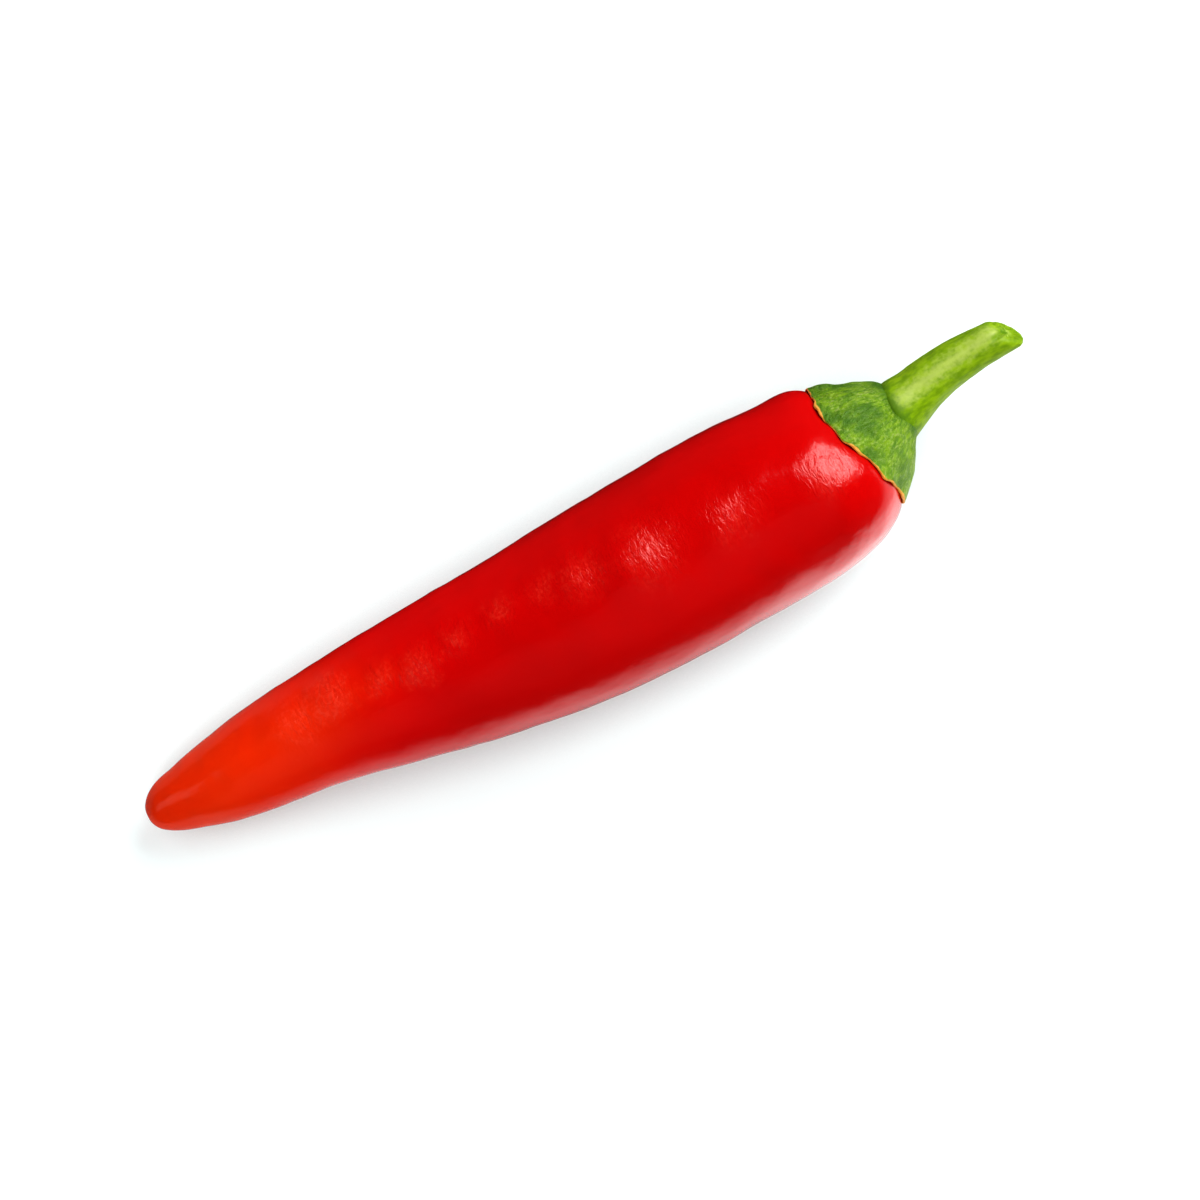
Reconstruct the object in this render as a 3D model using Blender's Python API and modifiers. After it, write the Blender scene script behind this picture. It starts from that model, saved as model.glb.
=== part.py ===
"""A red chilli pepper, picked, lying on its side on a table.

Run it with: blender --background --python part.py

The fruit lies along X, with its tip at -X and its stalk at +X, and the table is the plane Z = 0.
It has three pieces: the pod, the calyx that caps the pod's shoulder, and the stalk.
All three are lofted along one spine, which bends sideways and climbs as the pod gets thicker.
"""

import math

import bmesh
import bpy
from mathutils import Matrix, Vector

# Driving sizes, in metres.
POD_LENGTH = 0.0752  # tip to the middle of the calyx's rim
POD_RADIUS = 0.0092  # half the pod's width where it is thickest
CALYX_RADIUS = 0.0069  # half the width of the calyx's rim
STALK_LENGTH = 0.0128  # calyx crown to the cut end
STALK_RADIUS = 0.0021  # half the stalk's width at mid length
JOINT_GAP = 0.0003  # kept between neighbouring pieces
CONTACT_DEPTH = 0.00012  # how far the soft wall flattens where it lies on the table

# The pod's sections, tip first: place along the pod as a share of POD_LENGTH, half width as a share of
# POD_RADIUS, sideways place of the middle in metres, and clearance under the section in metres.
POD_SECTIONS = (
    (0.004, 0.105, -0.00060, 0.00250),
    (0.023, 0.222, -0.00030, 0.00138),
    (0.060, 0.350, -0.00045, 0.00042),
    (0.108, 0.462, -0.00066, 0.00000),
    (0.170, 0.540, -0.00062, 0.00000),
    (0.240, 0.588, -0.00075, 0.00008),
    (0.310, 0.664, -0.00132, 0.00022),
    (0.400, 0.758, -0.00208, 0.00030),
    (0.500, 0.880, -0.00272, 0.00016),
    (0.605, 0.964, -0.00304, 0.00000),
    (0.710, 0.996, -0.00306, 0.00000),
    (0.815, 1.000, -0.00298, 0.00000),
    (0.900, 0.984, -0.00298, 0.00010),
    (0.950, 0.950, -0.00292, 0.00042),
    (0.982, 0.830, -0.00266, 0.00146),
    (1.004, 0.660, -0.00222, 0.00305),
    (1.016, 0.360, -0.00196, 0.00575),
)
POD_SIDES = 8

# The spine past the pod, in metres: the calyx's rim and its crown.
RIM_CENTRE = Vector((POD_LENGTH, -0.00215, 0.00915))
CROWN_CENTRE = Vector((0.0799, -0.00115, 0.00930))

# The calyx's outside, crown first: share of the way down to the rim, and half width as a share of CALYX_RADIUS.
CALYX_FLARE = (
    (0.00, 0.51),
    (0.20, 0.64),
    (0.45, 0.80),
    (0.70, 0.92),
    (0.88, 0.985),
    (1.00, 1.00),
)
CALYX_SIDES = 20
CALYX_LOBES = 5
LOBE_REACH = 0.0006  # how far each lobe's point runs down the pod beyond the middle of the rim
LOBE_TURN = math.radians(20)
RIM_THICKNESS = 0.0004

# The stalk's sections, crown first: share of STALK_LENGTH, half width as a share of STALK_RADIUS,
# sideways place and height of the middle in metres.
STALK_SECTIONS = (
    (0.00, 1.36, -0.00100, 0.00932),
    (0.12, 1.26, -0.00058, 0.00938),
    (0.27, 1.14, -0.00008, 0.00948),
    (0.45, 1.05, 0.00030, 0.00962),
    (0.64, 0.97, 0.00046, 0.00980),
    (0.83, 0.88, 0.00042, 0.01002),
    (0.97, 0.79, 0.00028, 0.01024),
)
STALK_SIDES = 16
CUT_LEAN = math.radians(34)  # the knife's slant, seen from above
CUT_PITCH = math.radians(24)  # the knife's slant, seen from the side

CHILLI_RED = (0.58, 0.004, 0.003, 1)
CALYX_GREEN = (0.15, 0.30, 0.05, 1)
STALK_GREEN = (0.27, 0.45, 0.02, 1)


def clear_scene():
    """Removes the objects that Blender starts with."""
    for found in list(bpy.data.objects):
        bpy.data.objects.remove(found)


def make_material(name, colour, roughness):
    """A plain Principled BSDF material."""
    material = bpy.data.materials.new(name)
    material.use_nodes = True
    shader = material.node_tree.nodes["Principled BSDF"]
    shader.inputs["Base Color"].default_value = colour
    shader.inputs["Roughness"].default_value = roughness
    shader.inputs["Metallic"].default_value = 0
    return material


def cage_growth(sides):
    """How much wider a ring's cage is than the round that Subdivision Surface draws inside it."""
    return 1 / (2 / 3 + math.cos(2 * math.pi / sides) / 3)


def spine_frames(centres):
    """A matrix at each centre, with its local Z along the spine and its local X pointing up."""
    frames = []
    for i, centre in enumerate(centres):
        before = centres[max(i - 1, 0)]
        after = centres[min(i + 1, len(centres) - 1)]
        along = (after - before).normalized()
        up = (Vector((0, 0, 1)) - along * along.z).normalized()
        turn = Matrix((up, along.cross(up), along)).transposed()
        frames.append(Matrix.Translation(centre) @ turn.to_4x4())
    return frames


def sized(frame, radius):
    """The frame's matrix, widened so that a unit circle becomes a ring of this radius."""
    return frame @ Matrix.Diagonal((radius, radius, 1, 1))


def loft(rings, sides):
    """A closed bmesh through rings given as matrices of a unit circle, and the vertices of each ring."""
    bm = bmesh.new()
    first = bmesh.ops.create_circle(bm, cap_ends=True, radius=1, segments=sides)["verts"]
    bmesh.ops.transform(bm, matrix=rings[0], verts=first)
    ring_verts = [first]
    edges = list(bm.edges)
    for before, after in zip(rings, rings[1:]):
        made = bmesh.ops.extrude_edge_only(bm, edges=edges)["geom"]
        verts = [g for g in made if isinstance(g, bmesh.types.BMVert)]
        edges = [g for g in made if isinstance(g, bmesh.types.BMEdge)]
        bmesh.ops.transform(bm, matrix=after @ before.inverted(), verts=verts)
        ring_verts.append(verts)
    bmesh.ops.contextual_create(bm, geom=edges)
    bmesh.ops.recalc_face_normals(bm, faces=bm.faces)
    return bm, ring_verts


def finish(bm, name, material, collection):
    """Turns the bmesh into a named object in the collection."""
    mesh = bpy.data.meshes.new(name)
    bm.to_mesh(mesh)
    bm.free()
    mesh.shade_smooth()
    mesh.materials.append(material)
    made = bpy.data.objects.new(name, mesh)
    collection.objects.link(made)
    return made


def subdivide(piece, levels):
    """Rounds a cage with a live Subdivision Surface."""
    rounding = piece.modifiers.new("rounding", "SUBSURF")
    rounding.levels = levels
    rounding.render_levels = levels


def cut_below_table(piece, collection):
    """Flattens the piece where it reaches through the table, with a block as the cutter."""
    bpy.ops.mesh.primitive_cube_add(size=1)
    block = bpy.context.object
    block.name = "table_cutter"
    block.scale = (2 * POD_LENGTH, 4 * POD_RADIUS, POD_RADIUS)
    block.location = (POD_LENGTH / 2, 0, -POD_RADIUS / 2)
    block.hide_render = True
    block.display_type = "WIRE"
    for owner in list(block.users_collection):
        owner.objects.unlink(block)
    collection.objects.link(block)
    cut = piece.modifiers.new("contact", "BOOLEAN")
    cut.operation = "DIFFERENCE"
    cut.solver = "EXACT"
    cut.object = block
    return block


def pod_centres():
    """The middle of each of the pod's sections."""
    return [
        Vector((along * POD_LENGTH, sideways, clearance - CONTACT_DEPTH + width * POD_RADIUS))
        for along, width, sideways, clearance in POD_SECTIONS
    ]


def make_pod(collection):
    """The fruit: a tapering, slightly bent pod, closed at the tip and over the shoulder."""
    frames = spine_frames(pod_centres())
    growth = cage_growth(POD_SIDES)
    rings = [
        sized(frame, row[1] * POD_RADIUS * growth) for frame, row in zip(frames, POD_SECTIONS)
    ]
    bm, _ = loft(rings, POD_SIDES)
    pod = finish(bm, "pod", make_material("chilli_red", CHILLI_RED, 0.28), collection)
    subdivide(pod, 2)
    return pod


def lobe(angle):
    """How far the calyx's rim runs towards the tip at this angle round the spine."""
    return LOBE_REACH * math.cos(CALYX_LOBES * (angle - LOBE_TURN))


def make_calyx(collection):
    """The green cap: a flared collar with a lobed rim, open below to take the pod's shoulder."""
    axis = (CROWN_CENTRE - RIM_CENTRE).normalized()
    turn = spine_frames([RIM_CENTRE, CROWN_CENTRE])[0].to_quaternion().to_matrix().to_4x4()
    height = (CROWN_CENTRE - RIM_CENTRE).length

    def ring(drop, radius):
        """A ring this far down from the crown."""
        centre = CROWN_CENTRE - axis * drop
        return sized(Matrix.Translation(centre) @ turn, radius * cage_growth(CALYX_SIDES))

    outside = [ring(share * height, width * CALYX_RADIUS) for share, width in CALYX_FLARE]
    inside = [
        ring(height, CALYX_RADIUS - RIM_THICKNESS),
        ring(height * 0.80, CALYX_RADIUS * 0.80),
        ring(height * 0.68, CALYX_RADIUS * 0.45),
    ]
    bm, ring_verts = loft(outside + inside, CALYX_SIDES)
    to_world = Matrix.Translation(RIM_CENTRE) @ turn
    rim = len(CALYX_FLARE) - 1
    for verts, share in ((ring_verts[rim - 1], 0.6), (ring_verts[rim], 1), (ring_verts[rim + 1], 1)):
        for vert in verts:
            local = to_world.inverted() @ vert.co
            reach = share * lobe(math.atan2(local.y, local.x))
            spread = 1 + reach / CALYX_RADIUS
            vert.co = to_world @ Vector((local.x * spread, local.y * spread, local.z - reach))
    calyx = finish(bm, "calyx", make_material("calyx_green", CALYX_GREEN, 0.55), collection)
    subdivide(calyx, 1)
    return calyx


def make_stalk(collection):
    """The stalk: a short, bent, tapering stem, flared at the crown and cut across at a slant."""
    start = CROWN_CENTRE.x + JOINT_GAP
    centres = [
        Vector((start + along * STALK_LENGTH, sideways, height))
        for along, _, sideways, height in STALK_SECTIONS
    ]
    frames = spine_frames(centres)
    calyx_turn = spine_frames([RIM_CENTRE, CROWN_CENTRE])[0].to_quaternion().to_matrix().to_4x4()
    frames[0] = Matrix.Translation(centres[0]) @ calyx_turn
    slant = Matrix.Identity(4)
    slant[2][0] = -math.tan(CUT_PITCH)
    slant[2][1] = -math.tan(CUT_LEAN)
    rings = [
        sized(frame, row[1] * STALK_RADIUS) for frame, row in zip(frames, STALK_SECTIONS)
    ]
    rings[-1] = sized(frames[-1] @ slant, STALK_SECTIONS[-1][1] * STALK_RADIUS)
    bm, _ = loft(rings, STALK_SIDES)
    return finish(bm, "stalk", make_material("stalk_green", STALK_GREEN, 0.42), collection)


def centre_on_origin(pieces, helpers):
    """Hangs everything on one empty, placed so that the pieces' box stands centred on the origin."""
    bpy.context.view_layer.update()
    graph = bpy.context.evaluated_depsgraph_get()
    corners = [
        piece.evaluated_get(graph).matrix_world @ Vector(corner)
        for piece in pieces
        for corner in piece.evaluated_get(graph).bound_box
    ]
    lowest = Vector([min(corner[axis] for corner in corners) for axis in range(3)])
    highest = Vector([max(corner[axis] for corner in corners) for axis in range(3)])
    hanger = bpy.data.objects.new("chilli_pepper", None)
    bpy.context.scene.collection.objects.link(hanger)
    hanger.location = (-(lowest.x + highest.x) / 2, -(lowest.y + highest.y) / 2, -lowest.z)
    for piece in pieces + helpers:
        piece.parent = hanger


def main():
    """Builds the chilli."""
    clear_scene()
    chilli = bpy.data.collections.new("chilli_pepper")
    cutters = bpy.data.collections.new("cutters")
    bpy.context.scene.collection.children.link(chilli)
    bpy.context.scene.collection.children.link(cutters)
    pod = make_pod(chilli)
    block = cut_below_table(pod, cutters)
    pieces = [pod, make_calyx(chilli), make_stalk(chilli)]
    centre_on_origin(pieces, [block])


main()
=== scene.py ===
"""The looks of a red chilli pepper that lies on a white table under soft studio light.

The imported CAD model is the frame. Each of its three pieces, the pod, the calyx and the stalk, is replaced
by a finished piece that keeps to the sections or to the box of the CAD node that it stands for.
"""

import functools
import logging
import math
from collections.abc import Callable
from dataclasses import dataclass, field
from enum import Enum

import bmesh
import bpy
from mathutils import Matrix, Vector

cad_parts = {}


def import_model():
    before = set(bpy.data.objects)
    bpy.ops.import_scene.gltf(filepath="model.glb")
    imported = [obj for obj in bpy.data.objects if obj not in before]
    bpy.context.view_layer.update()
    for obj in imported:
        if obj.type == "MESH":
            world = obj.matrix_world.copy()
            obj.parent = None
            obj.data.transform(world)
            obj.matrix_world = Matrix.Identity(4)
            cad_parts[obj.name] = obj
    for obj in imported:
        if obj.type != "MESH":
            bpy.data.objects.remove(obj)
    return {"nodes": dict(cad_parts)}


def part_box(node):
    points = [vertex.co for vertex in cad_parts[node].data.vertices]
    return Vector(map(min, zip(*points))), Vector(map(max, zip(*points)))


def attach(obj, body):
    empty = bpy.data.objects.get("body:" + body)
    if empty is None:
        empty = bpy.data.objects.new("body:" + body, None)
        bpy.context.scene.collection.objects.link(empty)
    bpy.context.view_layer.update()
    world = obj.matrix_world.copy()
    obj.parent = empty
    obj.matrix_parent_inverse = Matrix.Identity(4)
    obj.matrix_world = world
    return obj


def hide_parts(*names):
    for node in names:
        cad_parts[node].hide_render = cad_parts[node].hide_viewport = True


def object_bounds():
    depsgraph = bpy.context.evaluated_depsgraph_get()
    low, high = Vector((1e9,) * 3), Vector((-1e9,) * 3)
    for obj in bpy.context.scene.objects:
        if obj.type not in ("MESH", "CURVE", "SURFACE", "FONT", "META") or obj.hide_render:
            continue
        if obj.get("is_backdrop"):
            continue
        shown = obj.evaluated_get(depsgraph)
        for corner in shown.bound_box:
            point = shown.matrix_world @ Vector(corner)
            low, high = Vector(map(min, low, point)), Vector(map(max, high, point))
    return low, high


LOG = logging.getLogger("chilli")
MM = 0.001
BODY = "root"
Object = bpy.types.Object
Socket = bpy.types.NodeSocket
Sockets = bpy.types.bpy_prop_collection


class Grain(Enum):
    """The kinds of noise that swell a surface."""

    SOFT = "CLOUDS"
    BROKEN = "DISTORTED_NOISE"


class Way(Enum):
    """The ways that a noise moves a surface."""

    OUT = "NORMAL"
    ALONG = "X"


@dataclass(frozen=True)
class Relief:
    """A noise on a surface: how large its swellings are and how high they stand, in millimetres."""

    size: float
    height: float
    grain: Grain = Grain.SOFT
    way: Way = Way.OUT


@dataclass(frozen=True)
class Fade:
    """A soft step: where it starts, where it ends, and its level on either side."""

    start: float
    end: float
    before: float
    after: float


@dataclass(frozen=True)
class Section:
    """The outline of a CAD node where a plane across X cuts it, in metres."""

    x: float
    y: float
    z: float
    half_width: float
    half_height: float

    @property
    def centre(self) -> Vector:
        """The middle of the outline."""
        return Vector((self.x, self.y, self.z))

    def rim(self, turn: float) -> Vector:
        """The point of the outline at a turn from the top, towards +Y, in degrees."""
        turn = math.radians(turn)
        return self.centre + Vector((0, self.half_width * math.sin(turn), self.half_height * math.cos(turn)))

    def outward(self, turn: float) -> Vector:
        """The unit vector from the middle to the outline's point at a turn, in degrees."""
        return (self.rim(turn) - self.centre).normalized()


def cut_across(node: Object, x: float) -> Section:
    """Measures a CAD node where the plane at x cuts it.

    Args:
        node: The CAD node's object, whose mesh is in the frame's coordinates.
        x: The plane's place along X, in metres, inside the node's box.

    Returns:
        The section's middle and half sizes.
    """
    verts = node.data.vertices
    crossings = []
    for edge in node.data.edges:
        a, b = (verts[index].co for index in edge.vertices)
        if (a.x - x) * (b.x - x) < 0:
            crossings.append(a.lerp(b, (x - a.x) / (b.x - a.x)))
    low_y, high_y = min(p.y for p in crossings), max(p.y for p in crossings)
    low_z, high_z = min(p.z for p in crossings), max(p.z for p in crossings)
    return Section(x, (low_y + high_y) / 2, (low_z + high_z) / 2, (high_y - low_y) / 2, (high_z - low_z) / 2)


class Bench:
    """One piece under work: a primitive ring that edit-mode operators shape, as by hand."""

    def __init__(self, name: str, sides: int, start: Section) -> None:
        """Lays the first ring across X.

        Args:
            name: The finished piece's name.
            sides: How many points the ring has.
            start: Where the ring lies and how large it is.
        """
        bpy.ops.object.select_all(action="DESELECT")
        turned = (0, math.pi / 2, 0)
        bpy.ops.mesh.primitive_circle_add(vertices=sides, radius=1, location=start.centre, rotation=turned)
        self.piece = bpy.context.object
        self.piece.name = name
        self.piece.data.name = name
        bpy.ops.object.transform_apply(location=True, rotation=True, scale=True)
        self.last = start
        self.edit()
        bpy.ops.mesh.select_all(action="SELECT")
        bpy.ops.transform.resize(value=(1, start.half_width, start.half_height), center_override=start.centre)

    def edit(self) -> None:
        """Opens edit mode with the vertex as the thing picked."""
        bpy.ops.object.mode_set(mode="EDIT")
        bpy.ops.mesh.select_mode(type="VERT")

    def rest(self) -> None:
        """Closes edit mode."""
        bpy.ops.object.mode_set(mode="OBJECT")

    def add_ring(self, section: Section) -> None:
        """Extrudes the last ring to a new section.

        Args:
            section: Where the new ring lies and how large it is.
        """
        step = section.centre - self.last.centre
        bpy.ops.mesh.extrude_region_move(TRANSFORM_OT_translate={"value": step})
        growth = (1, section.half_width / self.last.half_width, section.half_height / self.last.half_height)
        bpy.ops.transform.resize(value=growth, center_override=section.centre)
        self.last = section

    def close(self) -> None:
        """Caps every open ring with a fan of triangles and turns all faces outwards."""
        bpy.ops.mesh.select_all(action="SELECT")
        bpy.ops.mesh.fill_holes(sides=0)
        bpy.ops.mesh.select_mode(type="FACE")
        bpy.ops.mesh.select_all(action="DESELECT")
        bpy.ops.mesh.select_face_by_sides(number=4, type="GREATER", extend=False)
        bpy.ops.mesh.poke()
        self.turn_outwards()
        bpy.ops.mesh.select_mode(type="VERT")

    def turn_outwards(self) -> None:
        """Makes every face point out of the piece."""
        bpy.ops.mesh.select_all(action="SELECT")
        bpy.ops.mesh.normals_make_consistent(inside=False)

    def pick(self, wanted: Callable[[Vector], bool]) -> None:
        """Selects vertices by a test of their place.

        Args:
            wanted: A function of a vertex's place that says whether it is picked.
        """
        bpy.ops.mesh.select_all(action="DESELECT")
        bm = bmesh.from_edit_mesh(self.piece.data)
        for vert in bm.verts:
            vert.select_set(wanted(vert.co))
        bm.select_flush_mode()
        bmesh.update_edit_mesh(self.piece.data)

    def press(self, place: Vector, push: Vector, reach: float) -> None:
        """Pulls or pushes the surface round a place, fading out at the reach.

        Args:
            place: The spot to take hold of: the nearest vertex is used.
            push: How far and which way it moves, in metres.
            reach: Radius of the soft falloff, in metres.
        """
        bm = bmesh.from_edit_mesh(self.piece.data)
        nearest = min(bm.verts, key=lambda vert: (vert.co - place).length_squared).co.copy()
        self.pick(lambda spot: spot == nearest)
        soft = {"use_proportional_edit": True, "proportional_edit_falloff": "SMOOTH"}
        bpy.ops.transform.translate(value=push, proportional_size=reach, **soft)

    def apply(self, kind: str, **settings: object) -> None:
        """Adds one modifier with its settings and applies it.

        Args:
            kind: The modifier's type.
            **settings: Values for the modifier's own properties.
        """
        modifier = self.piece.modifiers.new(kind.lower(), kind)
        for name, value in settings.items():
            setattr(modifier, name, value)
        bpy.ops.object.modifier_apply(modifier=modifier.name)

    def smooth(self, levels: int) -> None:
        """Rounds the piece with Subdivision Surface."""
        self.apply("SUBSURF", levels=levels, render_levels=levels)

    def swell(self, relief: Relief, group: str = "") -> None:
        """Raises and sinks the surface by a noise.

        Args:
            relief: The noise.
            group: The vertex group that limits it, or nothing.
        """
        texture = bpy.data.textures.new(self.piece.name + "_swelling", relief.grain.value)
        texture.noise_scale = relief.size * MM
        settings = {"strength": relief.height * MM, "mid_level": 0.5, "direction": relief.way.value}
        self.apply("DISPLACE", texture=texture, vertex_group=group, **settings)


class Graph:
    """A node tree being wired."""

    def __init__(self, tree: bpy.types.NodeTree) -> None:
        """Takes the tree that the nodes go into."""
        self.tree = tree

    def feed(self, socket: Socket, source: object) -> None:
        """Feeds an input.

        Args:
            socket: The input.
            source: An output of another node, or a plain value.
        """
        if isinstance(source, Socket):
            self.tree.links.new(source, socket)
        else:
            socket.default_value = source

    def add(self, kind: str, inputs: dict | None = None, **settings: object) -> bpy.types.Node:
        """Makes one node.

        Args:
            kind: The node's type, without its "ShaderNode" start.
            inputs: What feeds each of its inputs.
            **settings: Values for the node's own properties.

        Returns:
            The new node.
        """
        node = self.tree.nodes.new("ShaderNode" + kind)
        for name, value in settings.items():
            setattr(node, name, value)
        for socket, source in (inputs or {}).items():
            self.feed(node.inputs[socket], source)
        return node

    def math(self, operation: str, first: object, second: object = 0.0) -> Socket:
        """The result of one Math node."""
        return self.add("Math", {0: first, 1: second}, operation=operation).outputs[0]

    def times(self, *factors: object) -> Socket:
        """The product of the factors."""
        return functools.reduce(functools.partial(self.math, "MULTIPLY"), factors)

    def ramp(self, value: object, low: float, high: float, to_low: object = 0, to_high: object = 1) -> Socket:
        """A soft step from one level, at low, to another one, at high."""
        inputs = {"Value": value, "From Min": low, "From Max": high, "To Min": to_low, "To Max": to_high}
        return self.add("MapRange", inputs, interpolation_type="SMOOTHSTEP").outputs["Result"]

    def fade(self, value: object, fade: Fade, origin: float = 0.0, unit: float = MM) -> Socket:
        """A soft step whose ends are counted from an origin, in a unit."""
        low, high = origin + fade.start * unit, origin + fade.end * unit
        return self.ramp(value, low, high, fade.before, fade.after)

    def blend(self, share: object, first: object, second: object) -> Socket:
        """A mix of two colours, by the share of the second one."""
        node = self.add("Mix", {"Factor": share, 6: first, 7: second}, data_type="RGBA")
        return node.outputs[2]

    def switch(self, flag: Socket, off: object, on: object) -> Socket:
        """One of two numbers, by a flag."""
        return self.add("Mix", {"Factor": flag, 2: off, 3: on}).outputs[0]

    def group(self, name: str, **inputs: object) -> Socket:
        """The result of one of the shared effects."""
        return self.add("Group", inputs, node_tree=bpy.data.node_groups[name]).outputs["Result"]

    def noise(self, vector: object, fineness: object, detail: float = 2.0) -> Socket:
        """A plain noise in 0 to 1, with about as many clouds to a metre as its fineness."""
        inputs = {"Vector": vector, "Scale": fineness, "Detail": detail}
        return self.add("TexNoise", inputs).outputs["Fac"]

    def attribute(self, name: str) -> Socket:
        """A number that is written at each vertex of the mesh."""
        return self.add("Attribute", attribute_name=name).outputs["Fac"]

    def split(self, vector: object) -> Sockets:
        """The X, Y and Z of a vector."""
        return self.add("SeparateXYZ", {"Vector": vector}).outputs


def colour(red: float, green: float, blue: float) -> tuple[float, float, float, float]:
    """A solid colour from linear values."""
    return (red, green, blue, 1)


class SharedEffects:
    """The node groups that more than one finish uses: each gives one result from its inputs."""

    def build(self) -> None:
        """Builds the groups."""
        self.build_crinkle()
        self.build_mottle()

    def open_group(self, name: str, output: str, **inputs: str) -> tuple[Graph, Sockets, Socket]:
        """Starts a node group.

        Args:
            name: The group's name.
            output: The kind of its output, which is called Result.
            **inputs: The kind of each input.

        Returns:
            The group's graph, its inputs, and the socket that takes its result.
        """
        tree = bpy.data.node_groups.new(name, "ShaderNodeTree")
        for socket, kind in inputs.items():
            tree.interface.new_socket(socket, in_out="INPUT", socket_type="NodeSocket" + kind)
        tree.interface.new_socket("Result", in_out="OUTPUT", socket_type="NodeSocket" + output)
        given = tree.nodes.new("NodeGroupInput").outputs
        return Graph(tree), given, tree.nodes.new("NodeGroupOutput").inputs["Result"]

    def build_crinkle(self) -> None:
        """Makes the height of fine wrinkles that come and go in patches."""
        kinds = {"Vector": "Vector", "Fineness": "Float", "Patchiness": "Float"}
        graph, given, result = self.open_group("crinkle", "Float", **kinds)
        vector, fineness = given["Vector"], given["Fineness"]
        wavy = {"Vector": vector, "Scale": fineness, "Detail": 3.0, "Roughness": 0.62, "Distortion": 0.5}
        wrinkles = graph.add("TexNoise", wavy).outputs["Fac"]
        patches = graph.noise(vector, graph.times(fineness, 0.16), 1.0)
        smooth = graph.math("SUBTRACT", 1.0, graph.ramp(patches, 0.36, 0.66))
        loss = graph.times(smooth, given["Patchiness"])
        graph.feed(result, graph.times(wrinkles, graph.math("SUBTRACT", 1.0, loss)))

    def build_mottle(self) -> None:
        """Makes two colours of living tissue that are clouded into each other."""
        kinds = {"Vector": "Vector", "Fineness": "Float", "Base": "Color", "Tint": "Color"}
        graph, given, result = self.open_group("mottle", "Color", **kinds)
        clouds = graph.ramp(graph.noise(given["Vector"], given["Fineness"], 4.0), 0.34, 0.68)
        graph.feed(result, graph.blend(clouds, given["Base"], given["Tint"]))


@dataclass(frozen=True)
class Gloss:
    """How a surface throws light back: the values that are the same all over it."""

    ior: float
    coat: float = 0.0
    coat_roughness: float = 0.40
    subsurface: float = 0.0
    subsurface_depth: float = 1.0 * MM
    subsurface_reach: tuple[float, float, float] = (1.0, 0.2, 0.1)


class Finish:
    """A material under making: its graph, its shader and its object coordinates."""

    def __init__(self, name: str, gloss: Gloss) -> None:
        """Opens a new material.

        Args:
            name: The material's name.
            gloss: The values that go straight on the shader.
        """
        self.material = bpy.data.materials.new(name)
        self.material.use_nodes = True
        self.graph = Graph(self.material.node_tree)
        self.shader = self.material.node_tree.nodes["Principled BSDF"]
        self.shader.inputs["IOR"].default_value = gloss.ior
        self.shader.inputs["Coat Weight"].default_value = gloss.coat
        self.shader.inputs["Coat Roughness"].default_value = gloss.coat_roughness
        self.shader.inputs["Subsurface Weight"].default_value = gloss.subsurface
        self.shader.inputs["Subsurface Scale"].default_value = gloss.subsurface_depth
        self.shader.inputs["Subsurface Radius"].default_value = gloss.subsurface_reach
        self.place = self.graph.add("TexCoord").outputs["Object"]

    def stretched(self, scale: tuple[float, float, float], turn: float = 0.0) -> Socket:
        """The object coordinates, turned round Z and scaled."""
        inputs = {"Vector": self.place, "Scale": scale, "Rotation": (0, 0, turn)}
        return self.graph.add("Mapping", inputs).outputs["Vector"]

    def local(self, origin: Vector, turn: float) -> Sockets:
        """The X, Y and Z from an origin, along axes that are turned round Z."""
        inputs = {"Vector": self.place, "Location": origin, "Rotation": (0, 0, turn)}
        return self.graph.split(self.graph.add("Mapping", inputs, vector_type="TEXTURE").outputs["Vector"])

    def noise(self, fineness: float, detail: float = 2.0) -> Socket:
        """A plain noise in 0 to 1 that follows the object coordinates."""
        return self.graph.noise(self.place, fineness, detail)

    def jitter(self, fineness: float, size: float, detail: float = 2.0) -> Socket:
        """A noise that goes below 0 as far as above it."""
        return self.graph.times(self.graph.math("SUBTRACT", self.noise(fineness, detail), 0.5), size)

    def crinkled(self, vector: object, fineness: float, patchiness: float) -> Socket:
        """The height of fine wrinkles: everywhere at patchiness 0, and in patches only at 1."""
        return self.graph.group("crinkle", Vector=vector, Fineness=fineness, Patchiness=patchiness)

    def mottled(self, vector: object, fineness: float, base: object, tint: object) -> Socket:
        """Two colours that are clouded into each other."""
        return self.graph.group("mottle", Vector=vector, Fineness=fineness, Base=base, Tint=tint)

    def wear(self, base: object, roughness: object, height: object, depth: float) -> bpy.types.Material:
        """Wires colour, roughness and relief to the shader.

        Args:
            base: The colour.
            roughness: The roughness.
            height: The relief's height, in 0 to 1.
            depth: What a height of 1 means, in metres.

        Returns:
            The finished material.
        """
        bump = self.graph.add("Bump", {"Height": height, "Distance": depth, "Strength": 1.0})
        self.graph.feed(self.shader.inputs["Base Color"], base)
        self.graph.feed(self.shader.inputs["Roughness"], roughness)
        self.graph.feed(self.shader.inputs["Normal"], bump.outputs["Normal"])
        return self.material


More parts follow.
